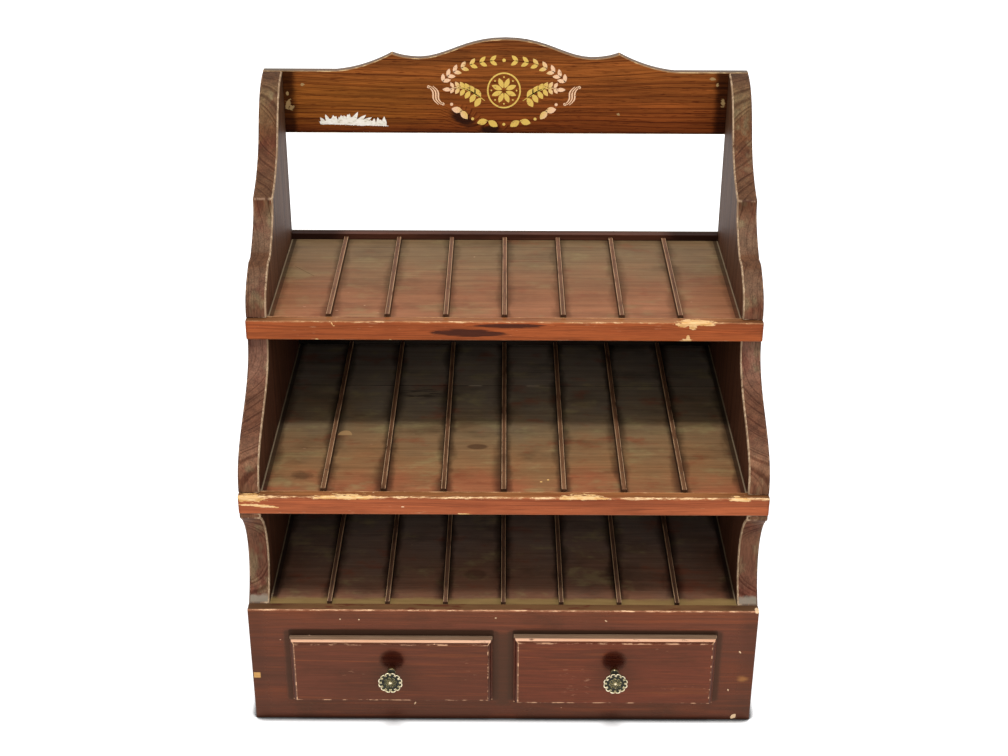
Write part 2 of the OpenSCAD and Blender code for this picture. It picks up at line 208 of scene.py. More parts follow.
    def specks(self, cell, size, share, stretch=1.0, shift=0.0):
        """Small scattered spots about size across, in a share of the cells of a loose net."""
        scale = [1 / (cell * stretch if axis == self.along else cell) for axis in "XYZ"]
        place = self.add("ShaderNodeMapping", {"Vector": self.mm, "Scale": scale, "Location": [shift] * 3})
        net = self.add("ShaderNodeTexVoronoi", {"Vector": place.outputs[0], "Scale": 1.0})
        chosen = self.add("ShaderNodeSeparateColor", {"Color": net.outputs["Color"]}).outputs[0]
        inside = self.fit(net.outputs["Distance"], size / cell * 0.6, size / cell * 0.4)
        return self.times(inside, self.math("LESS_THAN", chosen, share))

    def scratches(self, long, shift=0.0):
        """Fine short lines along the grain."""
        return self.fit(self.streaks(long, 0.5, 2, 0.5, shift), 0.66, 0.72)

    def paint(self, mask, colour, amount=1.0, rough=None, blend="MIX"):
        """Lays a colour over a mask, with its own roughness where one is given."""
        factor = self.math("MULTIPLY", mask, amount, clamp=True)
        laid = tone(colour) if isinstance(colour, str) else colour
        self.colour = self.mix(factor, self.colour, laid, blend)
        if rough is not None:
            node = self.add("ShaderNodeMix")
            for index, value in ((0, factor), (2, self.rough), (3, rough)):
                self.feed(node.inputs[index], value)
            self.rough = node.outputs[0]

    def grime_and_shade(self, mask, amount=1.0, rough=0.7):
        """Darkens and dulls a mask: used for grime and for painted shade."""
        self.paint(mask, GRIME_AND_SHADE, amount, rough, "MULTIPLY")

    def rings(self, heart, ring, sway, hills):
        """Late wood, from 0 to 1, of growth rings about a heart line that runs along the grain."""
        across = [0.0 if axis == self.along else 1.0 for axis in "XYZ"]
        out = self.vector("MULTIPLY", self.vector("SUBTRACT", self.ring_place, heart), across)
        bend = self.streaks(230, 60, 2, 0.5, 3.1)
        radius = self.math("MULTIPLY_ADD", bend, 2 * sway, self.vector("LENGTH", out))
        if hills is not None:
            radius = self.math("MULTIPLY_ADD", hills, 5 * ring, radius)
        count = self.math("MULTIPLY", radius, 1 / ring)
        waver = self.add("ShaderNodeTexNoise", {"Scale": 0.5, "Detail": 1.0}, noise_dimensions="1D")
        self.feed(waver.inputs["W"], count)
        saw = self.math("FRACT", self.math("MULTIPLY_ADD", waver.outputs["Fac"], 2.4, count))
        late = self.times(self.fit(saw, 0.25, 0.85), self.fit(saw, 0.88, 1.0, 1.0, 0.0))
        depth = self.add("ShaderNodeTexNoise", {"Scale": 0.83, "Detail": 1.0}, noise_dimensions="1D")
        self.feed(depth.inputs["W"], count)
        return self.times(late, self.fit(depth.outputs["Fac"], 0.35, 0.65, 0.15, 1.0))

    def figure(self, heart, ring=4.0, sway=6.0, late=0.5, streak=0.25, fibre=0.4, pore=0.4, hills=None):
        """Draws growth rings, pores, broad streaks and fine fibres over the colour so far."""
        rings = self.rings(heart, ring, sway, hills)
        broad = self.streaks(150, 6, 4, 0.65)
        fine = self.streaks(36, 1.0, 4, 0.7, 5.7)
        pores = self.fit(self.streaks(11, 0.8, 2, 0.5, 9.1), 0.58, 0.72)
        self.paint(rings, LATE_WOOD, late, blend="MULTIPLY")
        self.paint(pores, LATE_WOOD, pore, blend="MULTIPLY")
        shade = self.times(self.fit(broad, 0.3, 0.7, 1 + streak, 1 - streak),
                           self.fit(fine, 0.25, 0.75, 1 + fibre, 1 - fibre))
        self.colour = self.scaled(self.colour, shade)
        self.height = self.math("MULTIPLY_ADD", rings, -0.4, fine)

    def rub(self, share, rubbed=RUBBED_STAIN, raw=RAW_WOOD, where=1.0):
        """Wear all along an arris: stain rubbed thin, with raw wood in broken patches."""
        loose = self.streaks(16, 3, 4, 0.6, 11.0)
        thin, bare = 0.62 - 0.4 * share, 0.84 - 0.4 * share
        self.paint(self.times(self.fit(loose, thin, thin + 0.1), where), rubbed, 0.75, 0.6)
        self.paint(self.times(self.fit(loose, bare, bare + 0.06), where), raw, 0.9, 0.75)

    def wear_line(self, reach, line, raw=RAW_WOOD, rubbed=RUBBED_STAIN, start=0.42, shift=0.0):
        """Wear along one straight arris: raw wood as far as reach, unevenly, inside rubbed stain."""
        wander = self.streaks(15, 4, 7, 0.78, shift)
        far = self.fit(wander, start, start + 0.25, 0.0, reach, smooth=False)
        edge = self.math("SUBTRACT", far, self.away(**line))
        grain = self.fit(self.streaks(7, 0.9, 3, 0.6, shift + 2), 0.35, 0.65)
        self.paint(self.fit(edge, -0.9, 0.2), rubbed, 0.5, 0.55)
        self.paint(self.fit(edge, 0.0, 0.35), self.mix(grain, tone(rubbed), tone(raw)), 0.95, 0.75)

    def varnish(self, gloss, depth=0.12, tint=None):
        """Ends the finish as varnished wood, with its relief; a tint is that of old stained lacquer."""
        self.shader.inputs["Specular IOR Level"].default_value = gloss
        if tint:
            self.shader.inputs["Specular Tint"].default_value = tone(tint)
        return self.done(depth)

    def done(self, depth=0.1):
        self.feed(self.shader.inputs["Base Color"], self.colour)
        self.feed(self.shader.inputs["Roughness"], self.rough)
        if self.height is not None:
            relief = self.add("ShaderNodeBump", {"Height": self.height, "Distance": depth * MM})
            self.feed(self.shader.inputs["Normal"], relief.outputs[0])
        return self.material


def strip_pitch():
    """Distance between the middles of neighbouring strips, in millimetres: strip 5 is one off the middle."""
    low, high = corners("top_strip_5")
    return (low[0] + high[0]) / 2


def crest_finish(arris):
    low, high = corners("crest_board")
    face, end = low[1], -corners("left_side")[1][0]
    f = Finish("crest_arris" if arris else "crest_wood")
    knots = f.spots(((-36, face, 428), (22, 30, 11), 30), ((-13, face, 418), (17, 30, 8), 0))
    f.colour = f.ramp(f.fit(f.at["Z"], low[2], high[2], smooth=False),
                      (0.0, "5e2a0c"), (0.3, "82441a"), (0.62, "8a4d1f"), (1.0, "743f1a"))
    f.rough = 0.45
    golden = f.times(f.fit(f.at["X"], -20, -110), f.band(f.at["Z"], 432, 452, 16))
    f.paint(golden, "9a5f1e", 0.35)
    f.figure((0, face + 34, low[2] - 70), 2.3, 9.0, 0.95, 0.3, 0.3, 0.9, knots)
    f.paint(f.ragged(knots, 0.6, 0.3, 0.7, 12, 4), "1c0a05", 0.9)
    # Darker towards the ends: stain, with painted shade beside the sides.
    f.grime_and_shade(f.ragged(f.fit(f.half, end - 17, end - 3), 0.7, 0.2, 0.9, 14, 8), 0.95)
    # Painted shade along the foot, in the crease with the top shelf.
    f.grime_and_shade(f.fit(f.at["Z"], low[2] + 2.6, low[2] + 0.4), 0.8)
    scuffs = f.spots(((-184, face, 440), (5, 20, 9), 20), ((-181, face, 437), (5, 20, 5), 0),
                     ((-184, face, 449), (3, 20, 4), 0), ((184, face, 442), (4, 20, 8), 0),
                     ((174, face, 463), (5, 20, 2.5), 0), ((178, face, 458), (3, 20, 3), 0),
                     ((-171, face, 457), (3, 20, 3), 40), ((96, face, 432), (3, 20, 2), 0))
    f.paint(f.ragged(scuffs, 1.3, 0.5, 0.62, 2.4, 1.6), "a88a5c", 0.85, 0.7)
    f.paint(f.specks(13, 0.9, 0.22, 1.6, 2.0), "d8b48c", 0.75, 0.7)
    if arris:
        f.rub(0.8, "9a7852", "c8a878")
    else:
        f.paint(f.fit(f.facing["Z"], 0.5, 0.8), "6e6256", 0.85, 0.65)
    return f.varnish(0.05)


def side_finish(arris):
    low, high = corners("right_side")
    ledge, shelf = 355.1, corners("lower_shelf")[1][2]
    f = Finish("side_arris" if arris else "side_wood", "Z")
    f.ring_place = f.vector("ABSOLUTE", f.mm)
    height = f.fit(f.at["Z"], low[2], high[2], smooth=False)
    f.colour = f.ramp(height, (0.0, "4c281c"), (0.25, "50301f"), (0.5, "5a3726"), (0.8, "5c3e2a"),
                      (1.0, "5c402c"))
    f.rough = 0.55
    edge = f.fit(f.facing["Y"], -0.35, -0.75)
    edge_tone = f.ramp(height, (0.24, "643f30"), (0.44, "6e4a34"), (0.52, "7c5740"), (0.64, "6c4a3c"),
                       (0.7, "66432f"), (0.76, "6f5844"), (0.83, "5f3b27"), (0.92, "5e3b24"),
                       (0.97, "6c5438"))
    f.paint(edge, edge_tone)
    f.paint(f.times(edge, f.fit(f.streaks(40, 13, 3, 0.6, 2.0), 0.5, 0.66)), "57261a", 0.45)
    f.paint(f.times(edge, f.fit(f.streaks(34, 16, 3, 0.6, 6.0), 0.54, 0.68)), "7a7052", 0.4)
    f.figure((236, 20, 0), 3.4, 7.0, 0.8, 0.25, 0.3)
    # Painted shade on the inner faces inside the lower tiers.
    f.grime_and_shade(f.times(f.fit(f.half, low[0] + 1.5, low[0]), f.band(f.at["Z"], 108, 300, 30)), 0.3)
    f.grime_and_shade(f.ragged(f.near(26, Y=high[1]), 0.6, 0.3, 0.9, 60, 20), 0.3)
    f.grime_and_shade(f.ragged(f.near(9, Z=low[2]), 0.7, 0.3, 0.8, 9, 9), 0.6)
    f.paint(f.times(edge, f.ragged(f.fit(f.away(Z=shelf), 10, 1), 0.9, 0.3, 0.7, 6, 6)), "8a8272", 0.7)
    f.paint(f.times(edge, f.near(1.3, Z=ledge)), "c0a680", 0.8)
    f.paint(f.specks(14, 1.0, 0.25, 2.0, 4.0), "d0ae88", 0.8, 0.7)
    f.paint(f.specks(23, 2.0, 0.15, 1.0, 8.0), "2c1a12", 0.7)
    if arris:
        inner = f.fit(f.half, low[0] + 5, low[0] + 2)
        f.paint(f.math("SUBTRACT", 1.0, inner), "4a3026", 0.5)
        f.rub(0.85, "a08468", "dcc4a0", inner)
        f.rub(0.3, "907058", "c8b090")
    return f.varnish(0.08)


def lip_finish(node, tint, worn, start, knots=(), chips=()):
    """A lip's wood; each knot and chip is its place (x, z), half its size, and its turn in degrees."""
    low, high = corners(node)
    f = Finish(node + "_wood")

    def marks(places):
        return f.spots(*(((x, low[1], z), (long, 10, tall), turn) for x, z, long, tall, turn in places))
    top = f.fit(f.facing["Z"], 0.5, 0.9)
    f.colour = f.mix(top, tone(tint), tone("8f5c36"))
    f.rough = 0.42
    f.paint(f.fit(f.streaks(60, 9, 3, 0.6, 1.0), 0.5, 0.7), "7a3418", 0.35)
    hills = marks(knots) if knots else None
    f.figure((0, low[1] + 46, low[2] - 60), 3.1, 7.0, 0.4, 0.2, 0.22, 0.25, hills)
    f.paint(f.fit(f.streaks(90, 3, 3, 0.6, 6.0), 0.6, 0.7), "5c2a16", 0.4)
    if knots:
        f.paint(f.ragged(hills, 1.1, 0.2, 0.36, 30, 1.4), "38180e", 0.9)
    f.grime_and_shade(f.times(top, f.fit(f.half, 160, high[0] - 12)), 0.45)
    f.wear_line(worn, {"Y": low[1], "Z": high[2]}, "f2d0a0", "c09064", start)
    f.wear_line(0.9, {"Y": low[1], "Z": low[2]}, "e8bc94", start=0.42, shift=4.0)
    f.wear_line(1.5, {"Y": high[1], "Z": high[2]}, "e0b080", "b88a60", 0.38, 8.0)
    f.grime_and_shade(f.fit(f.half, high[0] - 3, high[0]), 0.3)
    if chips:
        grain = f.fit(f.streaks(9, 1.2, 3, 0.6), 0.35, 0.65)
        f.paint(f.ragged(marks(chips), 1.5, 0.34, 0.42, 5, 1.5), f.mix(grain, tone("d09c5c"), tone("ecc690")),
                0.95, 0.75)
    f.paint(f.times(f.scratches(12, 2.0), f.fit(f.streaks(12, 8, 1, 0.5, 9.0), 0.6, 0.66)), "e0b084", 0.6)
    f.paint(f.specks(11, 1.1, 0.22, 2.4, 1.0), "f0c8a0", 0.85, 0.7)
    return f.varnish(0.12)


def base_finish():
    low, high = corners("base_front")
    face = low[1]
    drawer_low, drawer_high = corners("right_drawer_front")
    f = Finish("base_wood")
    f.colour = f.ramp(f.fit(f.at["Z"], low[2], high[2], smooth=False),
                      (0.0, "3c150b"), (0.2, "431c12"), (0.6, "3d1a12"), (0.85, "4f2317"), (1.0, "582917"))
    f.rough = f.fit(f.streaks(50, 12, 3, 0.6, 3.0), 0.3, 0.7, 0.16, 0.3)
    f.paint(f.fit(f.streaks(120, 22, 3, 0.6, 2.0), 0.5, 0.68), "64280f", 0.4)
    f.paint(f.fit(f.streaks(110, 3, 4, 0.6, 4.0), 0.54, 0.66), "74361a", 0.35)
    f.grime_and_shade(f.fit(f.streaks(70, 34, 4, 0.65, 8.0), 0.5, 0.74), 0.55, 0.3)
    f.figure((0, face + 60, -40), 3.4, 8.0, 0.3, 0.18, 0.25, 0.25)
    side = f.fit(f.half, 178, high[0])
    f.grime_and_shade(f.ragged(side, 0.5, 0.2, 0.9, 30, 14), 0.3)
    # Painted shade with grime around the drawers.
    shade_and_grime_halo = f.times(f.band(f.half, drawer_low[0] - 2, drawer_high[0] + 2, 6),
                   f.band(f.at["Z"], drawer_low[2] + 2, drawer_high[2], 6))
    f.paint(f.ragged(shade_and_grime_halo, 0.3, 0.1, 0.9, 30, 8), "160e09", 0.8, 0.6)
    # Painted shade: a nearly black line above each drawer stands in for a shadowed gap.
    gap_shade_line = f.times(f.band(f.half, drawer_low[0], drawer_high[0], 2),
                   f.band(f.at["Z"], drawer_high[2] - 4, drawer_high[2] + 0.5, 6))
    f.paint(f.ragged(gap_shade_line, 0.25, 0.15, 0.8, 25, 2), "0a0503", 1.0, 0.75)
    # Painted shade on the mullion between the drawers.
    f.paint(f.times(f.fit(f.half, 10, 2), f.band(f.at["Z"], 18, 84, 8)), "1c140c", 0.65, 0.4)
    top = f.fit(f.facing["Z"], 0.5, 0.9)
    f.paint(top, f.mix(f.streaks(30, 5, 4, 0.65, 3.0), tone("4c3424"), tone("7a5a38")), 0.9, 0.7)
    f.paint(f.times(top, f.fit(f.streaks(26, 6, 3, 0.6, 3.0), 0.56, 0.64)), "4e1f16", 0.75)
    f.grime_and_shade(f.times(top, f.ragged(f.fit(f.half, 150, 200), 0.5, 0.2, 0.9, 20, 8)), 0.6)
    f.wear_line(1.1, {"Y": face, "Z": high[2]}, "ecc49a", "b07a5c", 0.34)
    f.grime_and_shade(f.fit(f.at["Z"], low[2] + 4, low[2] + 1), 0.7)
    chips = f.spots(((202, face, 109), (3, 9, 3), 0), ((-130, face, 100), (1, 9, 0.9), 0),
                    ((-115, face, 99.6), (0.9, 9, 0.9), 0), ((-6, face, 101.7), (1.2, 9, 0.9), 0),
                    ((82, face, 99.3), (1.8, 9, 0.8), 35), ((191, face, 69), (2.2, 9, 0.9), 50),
                    ((184, face, 30.7), (0.9, 9, 2), -15), ((-72, face, 15.8), (0.9, 9, 2.4), 25),
                    ((190, face, 3.4), (3.2, 9, 4.4), 30))
    f.paint(f.ragged(chips, 0.8, 0.35, 0.45, 3, 2), "e4c49c", 0.9, 0.75)
    block = f.times(f.band(f.at["X"], -202.3, -197.4, 0.5), f.band(f.at["Z"], 41.6, 46.4, 0.5))
    f.paint(block, f.mix(f.streaks(9, 0.9), tone("a87838"), tone("e0b070")), 0.95, 0.75)
    patch = f.spots(((195, face, 42), (9, 9, 6), 0))
    f.paint(f.ragged(patch, 0.8, 0.3, 0.9, 9, 1.5), "a06c3a", 0.6, 0.6)
    f.paint(f.specks(15, 0.8, 0.2, 1.5, 7.0), "cfa080", 0.75, 0.7)
    return f.varnish(LACQUER_GLOSS, 0.05, LACQUER)


def drawer_finish(node, tint):
    low, high = corners(node)
    middle = [(a + b) / 2 for a, b in zip(low, high)]
    f = Finish(node + "_wood")
    sunk = [f.math("SUBTRACT", (high[k] - low[k]) / 2,
                   f.math("ABSOLUTE", f.math("SUBTRACT", f.at[axis], middle[k])))
            for k, axis in ((0, "X"), (2, "Z"))]
    inside = f.math("MINIMUM", *sunk)
    upper = f.fit(f.at["Z"], high[2] - 5.4, high[2] - 5.0)
    front = f.fit(f.facing["Y"], 0.3, -0.3)
    f.colour = tone(tint)
    f.rough = f.fit(f.streaks(50, 12, 3, 0.6, 3.0), 0.3, 0.7, 0.13, 0.26)
    f.paint(f.fit(f.streaks(80, 16, 3, 0.6, middle[0]), 0.5, 0.7), "34120a", 0.45)
    f.paint(f.fit(f.streaks(100, 3, 4, 0.6, 4.0), 0.54, 0.66), "743818", 0.4)
    f.grime_and_shade(f.fit(f.streaks(60, 26, 4, 0.65, middle[0] + 8), 0.5, 0.74), 0.4, 0.25)
    f.figure((0, low[1] + 70, middle[2] - 30), 3.2, 9.0, 0.3, 0.16, 0.25, 0.25)
    # Finger grime with painted shade around the knob.
    grease_and_shade = f.spots(((middle[0], low[1], 54), (33, 40, 26), 0))
    f.grime_and_shade(f.ragged(grease_and_shade, 0.3, 0.1, 1.0, 20, 12), 0.6, 0.25)
    # Painted reflection: a dark disc above the knob stands in for the knob mirrored in the lacquer.
    f.paint(f.fit(f.away(X=middle[0], Z=66), 11.0, 8.8), "1e0604", 0.62)
    f.grime_and_shade(f.times(f.fit(inside, 4.4, 3.4), front), 0.4)
    loose = f.streaks(14, 4, 5, 0.7, 2.0)
    field = f.fit(f.math("ABSOLUTE", f.math("SUBTRACT", inside, 3.6)), 0.7, 0.25)
    left = f.fit(f.at["X"], low[0] + 8, low[0] + 5)
    share = f.math("MULTIPLY_ADD", left, 0.3, f.fit(loose, 0.5, 0.6))
    f.paint(f.times(field, share, front), "e0b08a", 0.75, 0.6)
    mitre = f.fit(f.math("ABSOLUTE", f.math("SUBTRACT", *sunk)), 0.55, 0.2)
    f.paint(f.times(mitre, f.fit(inside, 4.0, 3.4), upper), "e0b48c", 0.8)
    lower_edge = f.times(f.fit(f.at["Z"], low[2] + 1.3, low[2] + 0.6), f.fit(f.at["Z"], low[2], low[2] + 0.5))
    f.paint(f.times(lower_edge, f.fit(loose, 0.42, 0.52)), "dcae88", 0.75, 0.6)
    face = corners("base_front")[0][1]
    ledge = f.times(f.fit(f.at["Y"], face - 4.9, face - 4.5), f.fit(f.at["Z"], high[2] - 2.2, high[2] - 1.8))
    f.paint(ledge, f.mix(f.streaks(30, 0.9, 3, 0.6, 1.0), tone("463020"), tone("8a7660")), 0.9, 0.6)
    roll = f.fit(f.away(Y=face - 5.8, Z=high[2] - 1.6), 1.5, 0.9)
    pale = f.mix(f.streaks(60, 20), tone("c08860"), tone("f6ccae"))
    f.paint(f.times(roll, f.fit(loose, 0.28, 0.4)), pale, 0.9, 0.6)
    nicks = f.times(f.specks(8, 1.1, 0.3, 1.4, 3.0), f.fit(f.at["Z"], high[2] - 8, high[2] - 6))
    f.paint(nicks, "e8bc98", 0.9, 0.7)
    f.paint(f.specks(22, 1.0, 0.2, 1.0, 5.0), "e0b090", 0.85, 0.7)
    if middle[0] > 0:
        worn = f.spots(((60, low[1], 46), (20, 30, 22), 0), ((146, low[1], 38), (34, 30, 6), 0),
                       ((128, low[1], 77), (8, 30, 3), 0))
    else:
        worn = f.spots(((-120, low[1], 50), (12, 30, 12), 0), ((-30, low[1], 56), (12, 30, 14), 0))
    f.paint(f.times(f.scratches(9, 6.0), f.fit(worn, 0.05, 0.4)), "c89878", 0.5)
    return f.varnish(LACQUER_GLOSS, 0.04, LACQUER)


def shelf_finish(name, nodes, stops, dirt_and_shade, blotch, seed):
    """A tier's shelf, from its front to its rear tones, with grime and painted shade along the strips and
    grime in spots.
    """
    low = [min(corners(node)[0][k] for node in nodes) for k in range(3)]
    high = [max(corners(node)[1][k] for node in nodes) for k in range(3)]
    f = Finish(name)
    deep = f.fit(f.at["Y"], low[1], high[1], smooth=False)
    cloud = f.streaks(46, 46, 3, 0.55, seed)
    f.colour = f.ramp(f.math("MULTIPLY_ADD", cloud, 0.5, f.math("SUBTRACT", deep, 0.25), clamp=True), *stops)
    f.rough = 0.5
    stain, patch = f.streaks(60, 30, 4, 0.6, seed), f.streaks(40, 24, 4, 0.65, seed + 5)
    f.paint(f.fit(stain, 0.5, 0.72), GRIME_AND_SHADE, 0.7 * blotch, 0.55, "MULTIPLY")
    f.paint(f.fit(patch, 0.52, 0.7), "8f8258", 0.7 * blotch)
    f.paint(f.fit(patch, 0.46, 0.3), "7a3a24", 0.8 * blotch)
    f.figure((0, 20, high[2] - 52), 5.2, 11.0, 0.2, 0.12, 0.15, 0.15)
    beside = f.math("PINGPONG", f.at["X"], strip_pitch() / 2)
    uneven = f.streaks(18, 40, 3, 0.6, 3.0)
    reach = f.fit(uneven, 0.3, 0.7, 5.0, 12.0)
    # Grime and painted shade beside the strips, and painted shade at their feet.
    f.grime_and_shade(f.fit(f.math("DIVIDE", beside, reach), 1.0, 0.25), dirt_and_shade)
    f.grime_and_shade(f.ragged(f.fit(beside, 3.2, 2.2), 0.3, 0.3, 0.7, 20, 20, 1.0), 0.6)
    # Painted shade along the back edge of the shelf.
    f.grime_and_shade(f.ragged(f.fit(deep, 0.95, 1.0), 0.5, 0.2, 0.9, 20, 20), 0.5)
    f.paint(f.fit(f.half, high[0] - 1.6, high[0] - 0.9), "a08c70", 0.55)
    f.paint(f.times(f.specks(9, 0.9, 0.3, 3.0, seed), f.fit(deep, 0.5, 0.1)), "d0a080", 0.5, 0.7)
    f.paint(f.specks(21, 1.1, 0.2, 1.4, seed), "c8a684", 0.6, 0.7)
    f.paint(f.specks(27, 2.0, 0.14, 1.4, seed + 3), "2a1a12", 0.6)
    return f


def top_shelf_finish():
    f = shelf_finish("top_shelf_wood", ["top_shelf"],
                     ((0.0, "956244"), (0.3, "84573a"), (0.65, "7a5e40"), (1.0, "705a40")), 0.45, 0.4, 1.0)
    off_line = f.math("ABSOLUTE", f.math("ADD", f.at["Y"], f.math("MULTIPLY_ADD", f.at["X"], 1.1, 119.5)))
    scratch = f.times(f.fit(off_line, 0.7, 0.2), f.band(f.at["X"], -176, -160, 2))
    f.grime_and_shade(f.times(scratch, f.fit(f.at["Y"], 38.5, 48.5)), 0.6)
    return f.varnish(0.08)


def middle_shelf_finish():
    f = shelf_finish("middle_shelf_wood", ["middle_shelf_front", "middle_shelf_rear"],
                     ((0.0, "90583a"), (0.14, "85603f"), (0.4, "776044"), (0.6, "6c5e4c"), (1.0, "786c60")),
                     0.75, 0.6, 4.0)
    top = corners("middle_shelf_front")[1][2]
    joint = corners("middle_shelf_rear")[0][1]
    f.grime_and_shade(f.near(0.9, Y=joint), 0.9)
    # Pale glue along the joint in one bay, with a painted glint.
    f.paint(f.times(f.near(1.2, Y=joint), f.band(f.half, 21, 29, 3)), "c0ae94", 0.6, 0.6)
    figure = f.spots(((-72, 46.5, top), (24, 13, 20), 0))
    veins = f.fit(f.streaks(26, 3, 2, 0.5, 5.0, 1.0), 0.5, 0.6)
    f.paint(f.times(f.fit(figure, 0.0, 0.5), veins), "1a130e", 0.7)
    f.paint(f.fit(f.spots(((-21.5, -45.5, top), (10, 5, 20), 0)), 0.0, 0.35), "3c2418", 0.65)
    dome = f.times(f.fit(f.spots(((-130, -27.5, top), (6, 8, 20), 0)), 0.0, 0.1), f.fit(f.at["Y"], -28, -27))
    f.paint(dome, "b08a5c", 0.6)
    smudge = f.spots(((-158, -91.5, top), (16, 10, 20), 0))
    f.grime_and_shade(f.ragged(smudge, 0.9, 0.2, 0.8, 9, 7), 0.6)
    nicks = f.spots(((29, -99.5, top), (1.6, 1.3, 20), 0), ((34.5, -96.5, top), (1.2, 1.5, 20), 0))
    f.paint(f.ragged(nicks, 0.4, 0.3, 0.4, 3, 2), RAW_WOOD, 0.9, 0.7)
    return f.varnish(0.15)


def lower_shelf_finish():
    f = shelf_finish("lower_shelf_wood", ["lower_shelf"],
                     ((0.0, "75503c"), (0.2, "6b5040"), (0.5, "6c5c52"), (1.0, "6a6058")), 0.8, 0.6, 7.0)
    front, top = corners("lower_shelf")[0][1], corners("lower_shelf")[1][2]
    dusty = f.ragged(f.fit(f.at["Y"], front + 16, front), 0.9, 0.25, 0.7, 26, 10)
    f.paint(dusty, f.mix(f.streaks(30, 4, 4, 0.65, 3.0), tone("6e5630"), tone("9a8050")), 0.85, 0.65)
    f.paint(f.fit(f.spots(((-23, -73.5, top), (11, 9, 20), 0)), 0.0, 0.4), "38201a", 0.45)
    return f.varnish(0.15)


def strip_finish(name, tint, dim):
    f = Finish(name, "Y")
    f.colour = tone(tint)
    f.rough = 0.5
    f.figure((10, 0, 90), 2.4, 3.0, 0.4, 0.25, 0.3)
    f.grime_and_shade(f.fit(f.streaks(34, 60, 3, 0.6, 3.0), 0.45, 0.7), dim)
    beside = f.math("PINGPONG", f.at["X"], strip_pitch() / 2)
    rim = f.times(f.fit(beside, 1.05, 1.5), f.fit(f.facing["Z"], 0.3, 0.7))
    f.paint(f.times(rim, f.fit(f.streaks(24, 9, 3), 0.3, 0.5)), "c8a27c", 0.7, 0.6)
    # Painted shade on the strips' sides.
    f.grime_and_shade(f.fit(f.facing["Z"], 0.5, 0.1), 0.6)
    f.grime_and_shade(f.fit(f.facing["Y"], -0.5, -0.8), 0.3)
    return f.varnish(0.05)


def panel_finish():
    """The panel and the rail in front of it: dark towards their ends, dusty on top, matt board behind."""
    low, high = corners("back_panel")
    f = Finish("back_panel_wood")
    top, behind = f.fit(f.facing["Z"], 0.5, 0.9), f.fit(f.facing["Y"], 0.5, 0.9)
    f.colour = f.mix(f.fit(f.at["Z"], 250, 310), tone("342c26"), tone("502e20"))
    f.rough = 0.5
    f.paint(f.fit(f.streaks(90, 20, 3, 0.6), 0.48, 0.66), "2c1810", 0.5)
    f.figure((0, 90, 200), 4.2, 8.0, 0.4, 0.2, 0.2)
    f.grime_and_shade(f.ragged(f.fit(f.half, 120, 165), 0.4, 0.2, 0.9, 30, 20), 0.85)
    f.paint(f.times(top, f.fit(f.at["Y"], high[1] - 2.4, high[1] - 1.6)), "6a5e52", 0.8, 0.6)
    # Painted shade in the crease with the top shelf.
    f.grime_and_shade(f.near(1.5, Z=corners("top_shelf")[1][2]), 0.8)
    f.paint(behind, f.mix(f.streaks(3, 1.4, 5, 0.7), tone("4a2f1c"), tone("7a5636")), 1.0, 0.8)
    f.grime_and_shade(f.times(behind, f.fit(f.streaks(90, 60, 4, 0.65, 1.0), 0.46, 0.75)), 0.5)
    f.grime_and_shade(f.times(behind, f.ragged(f.near(30, Z=low[2]), 0.6, 0.2, 0.9, 40, 20)), 0.4)
    f.paint(f.times(behind, f.specks(5, 1.0, 0.3)), "94704a", 0.5)
    f.paint(f.specks(22, 1.5, 0.2, 1.6), "a8835e", 0.6, 0.7)
    return f.varnish(0.08)


def bare_finish(name, along):
    """Unstained pine inside the drawers and under the chest: dull, a little dirty, with plain grain."""
    f = Finish(name, along)
    f.colour = tone("a98058")
    f.rough = 0.72
    f.figure((40, 30, 60), 4.4, 7.0, 0.5, 0.14, 0.16, 0.2)
    f.grime_and_shade(f.fit(f.streaks(60, 45, 4, 0.6, 2.0), 0.5, 0.75), 0.35)
    f.paint(f.specks(30, 2.6, 0.14, 1.6), "5e3a22", 0.7)
    return f.done(0.12)


def board_finish():
    """Pressed board: matt, closely speckled, with darker smudges."""
    f = Finish("pressed_board")
    f.colour = f.mix(f.streaks(3, 1.4, 5, 0.7), tone("4a2f1c"), tone("7a5636"))
    f.rough = 0.8
    f.grime_and_shade(f.fit(f.streaks(50, 50, 3, 0.6, 1.0), 0.48, 0.75), 0.4)
    f.paint(f.specks(5, 1.0, 0.3), "94704a", 0.5)
    f.height = f.streaks(2.5, 0.8, 4, 0.7)
    return f.done(0.08)


def brass_finish():
    """Antique brass: bright where fingers polish the rims, dark green-black patina in the hollows."""
    f = Finish("antique_brass")
    polish = f.add("ShaderNodeAttribute", attribute_name="polish").outputs["Fac"]
    mottle = f.streaks(1.4, 1.4, 3, 0.6)
    bright = f.math("ADD", polish, f.fit(mottle, 0.3, 0.7, -0.2, 0.2), clamp=True)
    f.colour = f.ramp(bright, (0.0, "15150f"), (0.35, "3a3a28"), (0.62, "8a7f58"), (0.85, "cfc09a"),
                      (1.0, "efe2c4"))
    f.rough = f.fit(bright, 0.2, 0.9, 0.6, 0.28)
    f.feed(f.shader.inputs["Metallic"], f.fit(bright, 0.1, 0.6, 0.3, 1.0))
    f.height = mottle
    return f.done(0.08)


def steel_finish():
    """Dull zinc plate with spots of rust."""
    f = Finish("dull_zinc")
    patch = f.streaks(1.2, 1.2, 4, 0.65)
    f.colour = f.ramp(patch, (0.35, "4c4a48"), (0.55, "7c7a76"), (0.72, "6a4a36"))
    f.rough = f.fit(patch, 0.4, 0.7, 0.4, 0.75)
    f.shader.inputs["Metallic"].default_value = 0.85
    f.height = patch
    return f.done(0.04)


def brad_finish():
    """Set brads, nearly black with old varnish and grime."""
    f = Finish("set_brads")
    f.colour = f.mix(f.streaks(0.6, 0.6, 3), tone("1c120d"), tone("4a3626"))
    f.rough = 0.6
    return f.done()


